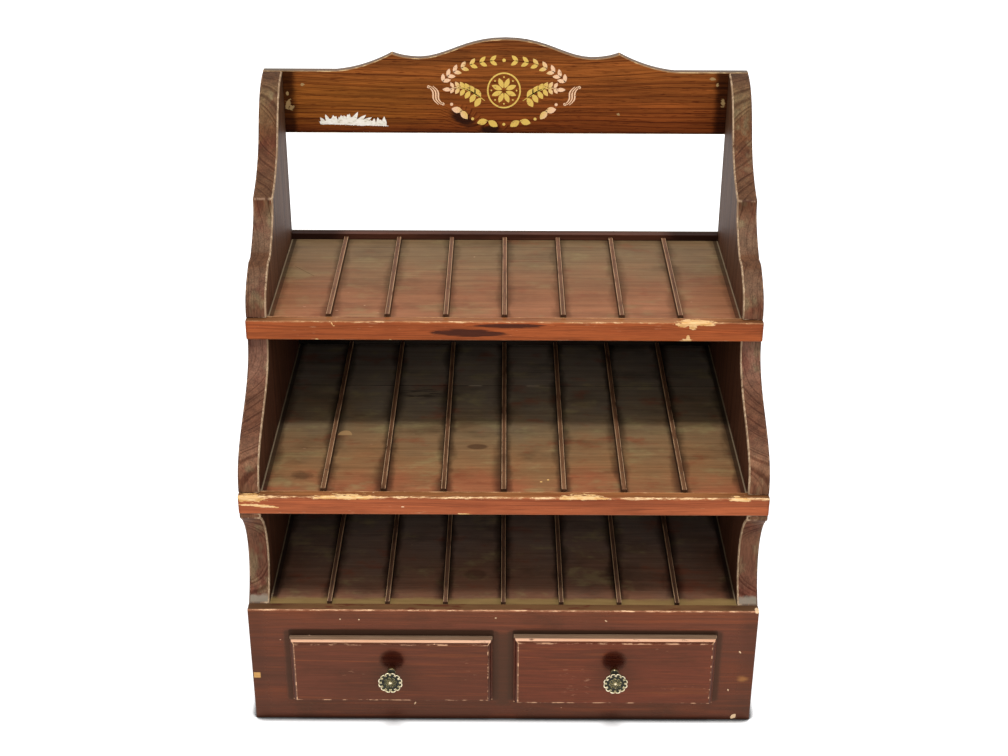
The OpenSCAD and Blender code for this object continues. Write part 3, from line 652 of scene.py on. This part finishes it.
def ink_finish():
    """Printed gold, yellower in the middle of the ornament and rubbed in places."""
    f = Finish("printed_gold")
    out = f.away(X=ORNAMENT_MIDDLE[0], Z=ORNAMENT_MIDDLE[1])
    f.colour = f.ramp(f.fit(out, 34, 46), (0.0, "d8b450"), (1.0, "ecc098"))
    f.rough = 0.45
    f.shader.inputs["Metallic"].default_value = 0.15
    f.paint(f.fit(f.streaks(5, 2.4, 4, 0.7), 0.6, 0.68), "7d4c22", 0.75)
    f.height = f.streaks(1.2, 0.8, 2)
    return f.done(0.03)


def paper_finish():
    """Torn paper, with its fibres and some old glue showing."""
    f = Finish("old_paper")
    f.colour = f.ramp(f.streaks(4, 1.6, 5, 0.7), (0.3, "c4b89e"), (0.46, "f0eadc"), (0.7, "fffaf0"))
    f.rough = 0.85
    f.height = f.streaks(3, 1, 4, 0.7)
    return f.done(0.12)


def even_normals():
    """Node group that drops a board's facet normals and shades it smooth, for the bevels to follow."""
    group = bpy.data.node_groups.new("even_normals", "GeometryNodeTree")
    for way in ("INPUT", "OUTPUT"):
        group.interface.new_socket("Geometry", in_out=way, socket_type="NodeSocketGeometry")
    start, end = group.nodes.new("NodeGroupInput"), group.nodes.new("NodeGroupOutput")
    drop = group.nodes.new("GeometryNodeRemoveAttribute")
    drop.inputs["Name"].default_value = "custom_normal"
    smooth = group.nodes.new("GeometryNodeSetShadeSmooth")
    for one, other in ((start, drop), (drop, smooth), (smooth, end)):
        group.links.new(one.outputs[0], other.inputs[0])
    return group


def soften(node, width, main, arris=None, segments=3):
    """Welds a CAD board's loose triangles and rounds its arrises, which may get a finish of their own."""
    board = NODES[node]
    weld = board.modifiers.new("weld", "WELD")
    weld.merge_threshold = 0.01 * MM
    flat = board.modifiers.new("flat", "DECIMATE")
    flat.decimate_type = "DISSOLVE"
    flat.angle_limit = math.radians(0.4)
    board.modifiers.new("even", "NODES").node_group = EVEN
    edge = board.modifiers.new("arrises", "BEVEL")
    edge.width = width
    edge.segments = segments
    edge.limit_method = "ANGLE"
    edge.angle_limit = math.radians(40)
    edge.material = 1 if arris else -1
    board.modifiers.new("shading", "WEIGHTED_NORMAL")
    board.data.materials.clear()
    for material in (main, arris):
        if material:
            board.data.materials.append(material)


def dress_front():
    """The sides, crest, lips and base: what the light falls on first."""
    side, side_arris = side_finish(False), side_finish(True)
    for node in ("left_side", "right_side"):
        soften(node, 1.3 * MM, side, side_arris)
    soften("crest_board", 0.6 * MM, crest_finish(False), crest_finish(True))
    soften("top_lip", 0.8 * MM, lip_finish("top_lip", "9c4f27", 1.5, 0.42,
           ((-28, 309.7, 40, 4.4, 1), (4, 316.2, 38, 2.6, 0)),
           ((150, 319, 23, 3.4, 0), (148, 316.4, 5, 4.6, 0), (140, 317.4, 7, 2.6, 0), (160, 318, 8, 2.2, 0),
            (-135.4, 317.6, 0.8, 2.2, -25), (-134, 315.8, 1.6, 0.8, 0), (-148, 304, 2, 0.9, 0),
            (-90, 303.8, 1.8, 0.9, 0), (144, 304, 8, 2.2, 0), (144.5, 306.6, 2.2, 4.4, 0))))
    soften("middle_lip", 0.8 * MM, lip_finish("middle_lip", "9c5230", 2.2, 0.4, (),
           ((-194, 212.4, 18, 4.6, 0), (-186, 206, 24, 1.8, 4), (181, 213, 12, 2.4, 0),
            (60, 213.6, 30, 1.8, 0), (-30, 199.4, 7, 1.4, 0), (-120, 213.4, 40, 1.8, 0))))
    soften("base_front", 0.7 * MM, base_finish())
    soften("left_drawer_front", 0.35 * MM, drawer_finish("left_drawer_front", "4c2015"))
    soften("right_drawer_front", 0.35 * MM, drawer_finish("right_drawer_front", "532013"))


def dress_tiers():
    """The shelves with their strips, and the low panel behind them."""
    soften("top_shelf", 0.4 * MM, top_shelf_finish())
    middle = middle_shelf_finish()
    for node in ("middle_shelf_front", "middle_shelf_rear"):
        soften(node, 0.3 * MM, middle)
    soften("lower_shelf", 0.4 * MM, lower_shelf_finish())
    panel = panel_finish()
    soften("back_panel", 0.4 * MM, panel)
    soften("rear_rail", 0.3 * MM, panel)
    for tier, tint, dim in (("top", "6e4c38", 0.3), ("middle", "6a4a34", 0.4), ("lower", "5e4434", 0.5)):
        strip = strip_finish(tier + "_strip_wood", tint, dim)
        for number in range(1, 8):
            soften(tier + "_strip_%d" % number, 0.5 * MM, strip, segments=2)


def dress_inside():
    """What stays out of sight until a drawer opens or the chest is turned over."""
    along, across = bare_finish("bare_pine_along", "Y"), bare_finish("bare_pine_across", "X")
    pressed, steel = board_finish(), steel_finish()
    for drawer in ("left_drawer", "right_drawer"):
        for node in ("_left_wall", "_right_wall"):
            soften(drawer + node, 0.4 * MM, along)
        soften(drawer + "_rear", 0.4 * MM, across)
        soften(drawer + "_floor", 0.2 * MM, pressed)
    for place in ("left", "centre", "right"):
        soften(place + "_drawer_guide", 0.4 * MM, along)
    soften("base_bottom", 0.4 * MM, across)
    for screw in ("left_knob_screw", "right_knob_screw"):
        soften(screw, 0.15 * MM, steel)


def new_piece(name, bm, body, material):
    """Makes a piece of a bmesh drawn in millimetres, with outward faces, and says what carries it."""
    bmesh.ops.scale(bm, verts=bm.verts, vec=(MM, MM, MM))
    bmesh.ops.remove_doubles(bm, verts=bm.verts, dist=0.001 * MM)
    bmesh.ops.recalc_face_normals(bm, faces=bm.faces)
    mesh = bpy.data.meshes.new(name)
    bm.to_mesh(mesh)
    bm.free()
    mesh.materials.append(material)
    piece = bpy.data.objects.new(name, mesh)
    bpy.context.scene.collection.objects.link(piece)
    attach(piece, body)
    return piece


# Knob: its radius and length over all, the rise of its bead over the head, and its petals
KNOB_R = 9.75
KNOB_L = 16.0
BEAD_RISE = 1.3
OUTER_PETALS = 12
INNER_PETALS = 8
KNOB_STEPS = 144
KNOB_RINGS = 36
HEAD_REST = ((9.7, 14.2), (9.3, 13.6), (8.2, 13.0), (6.6, 12.3), (5.0, 11.3), (3.9, 10.0), (3.35, 8.4),
             (2.6, 6.4), (2.6, 4.2), (2.7, 3.0), (2.9, 2.3), (3.2, 1.9), (3.4, 1.3), (3.4, 0.0), (0.0, 0.0))


def petal(angle, count):
    """How far an angle lies from the middle of its petal, from 0 to 0.5 at the gap between two."""
    turn = angle * count / (2 * math.pi)
    return abs(turn - math.floor(turn) - 0.5)


def eased(value):
    value = min(1.0, max(0.0, value))
    return value * value * (3 - 2 * value)


def flower_relief(r, angle):
    """Height over the head's plane and polish of the cast flower, at one point of it."""
    outer, inner = petal(angle, OUTER_PETALS), petal(angle + 0.2, INNER_PETALS)
    bead, inner_end, outer_start = 0.19 * KNOB_R, 0.57 * KNOB_R * (1 - 0.8 * inner ** 2), 0.66 * KNOB_R
    if r < bead:
        dome = math.sqrt(max(0.0, 1 - (r / bead) ** 2))
        return BEAD_RISE - 1.8 + 1.8 * dome, 0.3 + 0.7 * dome
    if r < inner_end:
        edge = min((0.5 - inner) * 2 * math.pi * r / INNER_PETALS, inner_end - r)
        rim, cup = eased(edge / 0.55), eased(edge / 1.5)
        return (1.5 - 0.7 * (r / inner_end) ** 2) * rim - 0.5 * cup, 0.08 + 0.75 * rim * (1 - cup)
    if r < outer_start:
        return -0.35, 0.02
    side = (0.5 - outer) * 2 * math.pi * r / OUTER_PETALS
    groove, root = eased(side / 0.4), eased((r - outer_start) / 0.7)
    cup = eased((min(side, KNOB_R - r) - 0.35) / 1.1)
    return root * (0.75 * groove - 0.9 * cup) - 0.35 * (1 - root), 0.1 + 0.9 * groove * (1 - cup) * root


def make_knob(side, brass):
    """Cast flower knob: a spun foot, neck and cup, with its head's face worked into petals and a bead."""
    node = side + "_knob"
    low, high = corners(node)
    head = KNOB_L - BEAD_RISE
    bm = bmesh.new()
    polish = bm.verts.layers.float.new("polish")
    profile = [(KNOB_R * k / KNOB_RINGS, head) for k in range(KNOB_RINGS + 1)] + list(HEAD_REST)
    line = [bm.verts.new((r, 0, z)) for r, z in profile]
    edges = [bm.edges.new(pair) for pair in zip(line, line[1:])]
    bmesh.ops.spin(bm, geom=line + edges, cent=(0, 0, 0), axis=(0, 0, 1), angle=2 * math.pi,
                   steps=KNOB_STEPS, use_merge=True)
    bmesh.ops.remove_doubles(bm, verts=bm.verts, dist=0.001)
    for vert in bm.verts:
        r, angle = math.hypot(vert.co.x, vert.co.y), math.atan2(vert.co.y, vert.co.x)
        vert[polish] = 0.66 if vert.co.z < 2.2 else 0.12
        if vert.co.z > HEAD_REST[2][1] - 0.01 and r > 0.6 * KNOB_R:
            pull = 1 - 0.11 * (2 * petal(angle, OUTER_PETALS)) ** 2.2 * (r / KNOB_R - 0.6) / 0.4
            vert.co.x *= pull
            vert.co.y *= pull
        if vert.co.z > head - 0.01:
            rise, vert[polish] = flower_relief(r, angle)
            vert.co.z += rise
    for face in bm.faces:
        face.smooth = True
    bmesh.ops.rotate(bm, verts=bm.verts, matrix=Matrix.Rotation(math.pi / 2, 3, "X"))
    bmesh.ops.translate(bm, verts=bm.verts, vec=((low[0] + high[0]) / 2, high[1], (low[2] + high[2]) / 2))
    piece = new_piece(node + "_flower", bm, side + "_drawer", brass)
    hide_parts(node)


def make_brads(tier, material):
    """The small dark brads that hold a tier's strips down: shallow tapered discs, their feet sunk."""
    count, radius, rise = 5, 0.8, 0.08
    bm = bmesh.new()
    for number in range(1, 8):
        low, high = corners(tier + "_strip_%d" % number)
        for k in range(count):
            made = bmesh.ops.create_cone(bm, cap_ends=True, segments=10, radius1=radius,
                                         radius2=0.7 * radius, depth=4 * rise)["verts"]
            y = low[1] + (high[1] - low[1]) * (k + 0.5) / count
            y += 5 * noise.noise(Vector((number * 1.7, k * 2.3, high[2] / 50)))
            bmesh.ops.translate(bm, verts=made, vec=((low[0] + high[0]) / 2, y, high[2] - rise))
    new_piece(tier + "_strip_brads", bm, "chest", material)


# Ornament: its middle on the crest, its wreath's half width and half height, and its ink's thickness
ORNAMENT_MIDDLE = (-1.3, 451.5)
WREATH = (54.0, 27.0)
INK = 0.12


def leaf(bm, at, length, width, turn):
    """A pointed leaf in the xy plane, with its middle at a point and its length turned by degrees."""
    made = bmesh.ops.create_circle(bm, cap_ends=True, segments=16, radius=0.5)["verts"]
    for vert in made:
        vert.co.y *= 2 * abs(vert.co.y)
    bmesh.ops.scale(bm, verts=made, vec=(length, width, 1))
    bmesh.ops.rotate(bm, verts=made, matrix=Matrix.Rotation(math.radians(turn), 3, "Z"))
    bmesh.ops.translate(bm, verts=made, vec=(at[0], at[1], 0))
    return made


def dot(bm, at, radius):
    made = bmesh.ops.create_circle(bm, cap_ends=True, segments=12, radius=radius)["verts"]
    bmesh.ops.translate(bm, verts=made, vec=(at[0], at[1], 0))


def stroke(bm, path, width, steps=24):
    """A tapering flat line along path, a function of 0 to 1 that gives a point of the xy plane."""
    made = bmesh.ops.create_grid(bm, x_segments=steps, y_segments=1, size=0.5)["verts"]
    for vert in made:
        t, side = vert.co.x + 0.5, math.copysign(0.5, vert.co.y)
        here, ahead = Vector(path(t)), Vector(path(t + 0.01))
        run = (ahead - here).normalized()
        thick = width * (0.35 + 0.65 * math.sin(math.pi * t))
        here += Vector((-run.y, run.x)) * side * thick
        vert.co = (here.x, here.y, 0)


def oval(bm, at, wide, high, width):
    """A flat oval ring in the xy plane."""
    loops = []
    for grow in (0.0, -width):
        made = bmesh.ops.create_circle(bm, cap_ends=False, segments=56, radius=1.0)["verts"]
        bmesh.ops.scale(bm, verts=made, vec=(wide + grow, high + grow, 1))
        bmesh.ops.translate(bm, verts=made, vec=(at[0], at[1], 0))
        loops += {edge for vert in made for edge in vert.link_edges}
    bmesh.ops.bridge_loops(bm, edges=loops)


def wreath(bm, x, y):
    """Paired small leaves above the emblem, and larger leaves and dots below it."""
    wide, high = WREATH
    for k in range(15):
        angle = math.radians(157 - k * 134 / 14)
        at = (x + wide * math.cos(angle), y + high * math.sin(angle))
        if k == 7:
            dot(bm, at, 1.5)
            continue
        along = math.degrees(math.atan2(high * math.cos(angle), -wide * math.sin(angle)))
        outward = math.radians(along + 90)
        for side in (1, -1):
            middle = (at[0] + side * 1.9 * math.cos(outward), at[1] + side * 1.9 * math.sin(outward))
            leaf(bm, middle, 7.4, 3.4, along + side * (-38 if k < 7 else 38))
    for k in range(13):
        angle = math.radians(203 + k * 134 / 12)
        at = (x + (wide - 6) * math.cos(angle), y + 1.06 * high * math.sin(angle))
        along = math.degrees(math.atan2(high * math.cos(angle), -wide * math.sin(angle)))
        if k % 3 == 0:
            dot(bm, at, 1.3)
        else:
            leaf(bm, at, 9.4, 5.6, along + (26 if k % 3 == 1 else -26))


def sprig(bm, x, y, side):
    """A leafy herb sprig beside the emblem."""
    def stem(t):
        return x + side * (16 + 30 * t), y - 8 + 3 * t + 9 * math.sin(2.2 * t)
    ahead = 90 - side * 90
    stroke(bm, stem, 1.1)
    for k in range(6):
        at, size = stem(0.12 + 0.15 * k), 9.5 - 0.8 * k
        for up in (1, -1):
            turn = ahead + side * up * 58
            reach = math.radians(turn)
            middle = (at[0] + 0.5 * size * math.cos(reach), at[1] + 0.5 * size * math.sin(reach))
            leaf(bm, middle, size, size * 0.54, turn)
    leaf(bm, stem(1.06), 8.0, 3.6, ahead)


def flourish(bm, x, y, side):
    """Three close curls at one end of the wreath."""
    for k in (-1, 0, 1):
        def curl(t):
            out = 2.2 * k + 9 * (t - 0.5) + 1.6 * math.sin(2 * math.pi * t)
            return x + side * out, y + 16 * (t - 0.5)
        stroke(bm, curl, 1.3)
    for end in (-1, 1):
        dot(bm, (x + side * end * 6.0, y + end * 7.4), 1.3)


def stand_up(bm, thickness, face):
    """Gives flat shapes their thickness and stands them on a face of the frame, half sunk into it."""
    raised = bmesh.ops.extrude_face_region(bm, geom=list(bm.faces))["geom"]
    bmesh.ops.translate(bm, verts=[v for v in raised if isinstance(v, bmesh.types.BMVert)],
                        vec=(0, 0, -thickness))
    bmesh.ops.rotate(bm, verts=bm.verts, matrix=Matrix.Rotation(math.pi / 2, 3, "X"))
    bmesh.ops.translate(bm, verts=bm.verts, vec=(0, face - thickness / 2, 0))


def make_ornament():
    """Gold ornament printed on the crest: a star flower in an oval, between sprigs, in a wreath."""
    x, y = ORNAMENT_MIDDLE
    bm = bmesh.new()
    oval(bm, (x, y + 1), 14.3, 15.6, 1.3)
    for k in range(8):
        turn = 22.5 + 45 * k
        reach = math.radians(turn)
        leaf(bm, (x + 6.4 * math.cos(reach), y + 1 + 6.8 * math.sin(reach)), 9.4, 4.2, turn)
        between = reach + math.radians(22.5)
        dot(bm, (x + 10.6 * math.cos(between), y + 1 + 11.6 * math.sin(between)), 0.7)
    wreath(bm, x, y)
    for side in (-1, 1):
        sprig(bm, x, y, side)
        flourish(bm, x + side * 57.5, y - 3.5, side)
    stand_up(bm, INK, corners("crest_board")[0][1])
    new_piece("crest_ornament", bm, "chest", ink_finish())


# Paper remnant: its ends on the crest, the height of its torn edge at fractions of its length, and its shards
PAPER_ENDS = ((-157.6, 422.4), (-99.6, 420.8))
PAPER_TORN = ((0.0, 0.4), (0.06, 2.0), (0.16, 6.0), (0.3, 6.5), (0.44, 9.5), (0.52, 7.0), (0.62, 1.6),
              (0.72, 3.2), (0.84, 4.6), (0.94, 5.0), (0.97, 0.8), (1.0, 0.4))
PAPER_SHARDS = ((0.06, 5, 150), (0.08, 8, 128), (0.14, 10, 112), (0.22, 9, 100), (0.3, 9, 84), (0.38, 11, 70),
                (0.46, 14, 62), (0.5, 15, 40), (0.56, 15, 30), (0.6, 12, 20), (0.7, 6, 60), (0.78, 7, 80),
                (0.86, 8, 95), (0.93, 9, 84), (0.96, 8, 100))
PAPER = 0.2


def torn_height(t):
    """Height of the torn edge at a fraction of the paper's length."""
    for (t0, h0), (t1, h1) in zip(PAPER_TORN, PAPER_TORN[1:]):
        if t <= t1:
            return h0 + (h1 - h0) * (t - t0) / (t1 - t0)
    return PAPER_TORN[-1][1]


def make_paper():
    """The torn foot of a paper label: its lower edge cut straight, its upper edge in curling shards."""
    bm = bmesh.new()
    (x0, z0), (x1, z1) = PAPER_ENDS
    for vert in bmesh.ops.create_grid(bm, x_segments=90, y_segments=4, size=0.5)["verts"]:
        t, up = vert.co.x + 0.5, vert.co.y + 0.5
        tear = 1 + 0.5 * noise.noise(Vector((t * 60, 0.3, 0)))
        vert.co = (x0 + (x1 - x0) * t, z0 + (z1 - z0) * t + torn_height(t) * up * tear, 0)
    for k, (t, size, turn) in enumerate(PAPER_SHARDS):
        reach = math.radians(turn)
        middle = (x0 + (x1 - x0) * t + 0.4 * size * math.cos(reach),
                  z0 + (z1 - z0) * t + 0.45 * size * math.sin(reach))
        shard = leaf(bm, middle, size, 2.4 + 0.08 * size, turn)
        bmesh.ops.translate(bm, verts=shard, vec=(0, 0, 0.03 * (k + 1)))
    stand_up(bm, PAPER, corners("crest_board")[0][1])
    new_piece("paper_remnant", bm, "chest", paper_finish())


def seen_white(tree):
    """1 where the camera, a gloss or a glass looks, and 0 for the light that falls on things."""
    path = tree.nodes.new("ShaderNodeLightPath")
    seen = path.outputs["Is Camera Ray"]
    for ray in ("Is Glossy Ray", "Is Transmission Ray"):
        either = tree.nodes.new("ShaderNodeMath")
        either.operation = "MAXIMUM"
        tree.links.new(seen, either.inputs[0])
        tree.links.new(path.outputs[ray], either.inputs[1])
        seen = either.outputs[0]
    return seen


def make_room():
    world = bpy.data.worlds.new("room")
    bpy.context.scene.world = world
    world.use_nodes = True
    tree = world.node_tree
    back = tree.nodes["Background"]
    strength = tree.nodes.new("ShaderNodeMapRange")
    strength.inputs["To Min"].default_value = ROOM_STRENGTH
    strength.inputs["To Max"].default_value = 1.0
    tree.links.new(seen_white(tree), strength.inputs["Value"])
    tree.links.new(strength.outputs[0], back.inputs["Strength"])
    back.inputs["Color"].default_value = (1, 1, 1, 1)

    for name, lean, turn, spread, strength in LIGHTS:
        sun = bpy.data.lights.new(name, "SUN")
        sun.energy = strength
        sun.angle = math.radians(spread)
        lamp = bpy.data.objects.new(name, sun)
        lamp.rotation_euler = (math.radians(lean), 0, math.radians(turn))
        bpy.context.scene.collection.objects.link(lamp)


def floor_finish():
    """Plain pale floor, shaded where the chest stands on it."""
    f = Finish("pale_floor")
    close = f.add("ShaderNodeAmbientOcclusion", {"Distance": CONTACT_REACH}, samples=16)
    clear = f.fit(close.outputs["AO"], 0.52, 0.85)
    f.colour = f.mix(clear, tone("404040"), tone("e7e7e7"))
    f.rough = 0.9
    f.shader.inputs["Specular IOR Level"].default_value = 0.0
    f.shader.inputs["Emission Color"].default_value = (1, 1, 1, 1)
    f.feed(f.shader.inputs["Emission Strength"], f.times(seen_white(f.tree), clear, FLOOR_LIFT))
    return f.done()


def make_floor():
    bm = bmesh.new()
    bmesh.ops.create_grid(bm, x_segments=1, y_segments=1, size=FLOOR_SIZE / 2)
    mesh = bpy.data.meshes.new("floor")
    bm.to_mesh(mesh)
    bm.free()
    mesh.materials.append(floor_finish())
    floor = bpy.data.objects.new("floor", mesh)
    bpy.context.scene.collection.objects.link(floor)


def make_camera():
    data = bpy.data.cameras.new("camera")
    data.lens = CAMERA_LENS
    data.sensor_width = SENSOR
    data.sensor_fit = "HORIZONTAL"
    data.clip_end = 50
    camera = bpy.data.objects.new("camera", data)
    turn = Matrix.Rotation(math.radians(CAMERA_PITCH), 4, "X")
    roll = Matrix.Rotation(math.radians(CAMERA_ROLL), 4, "Z")
    camera.matrix_world = Matrix.Translation(CAMERA_PLACE) @ turn @ roll
    bpy.context.scene.collection.objects.link(camera)
    bpy.context.scene.camera = camera


bpy.context.scene.view_settings.view_transform = "Standard"
make_camera()
make_room()
make_floor()

EVEN = even_normals()
dress_front()
dress_tiers()
dress_inside()

cast_brass, set_brads = brass_finish(), brad_finish()
for side in ("left", "right"):
    make_knob(side, cast_brass)
for tier in ("top", "middle", "lower"):
    make_brads(tier, set_brads)
make_ornament()
make_paper()
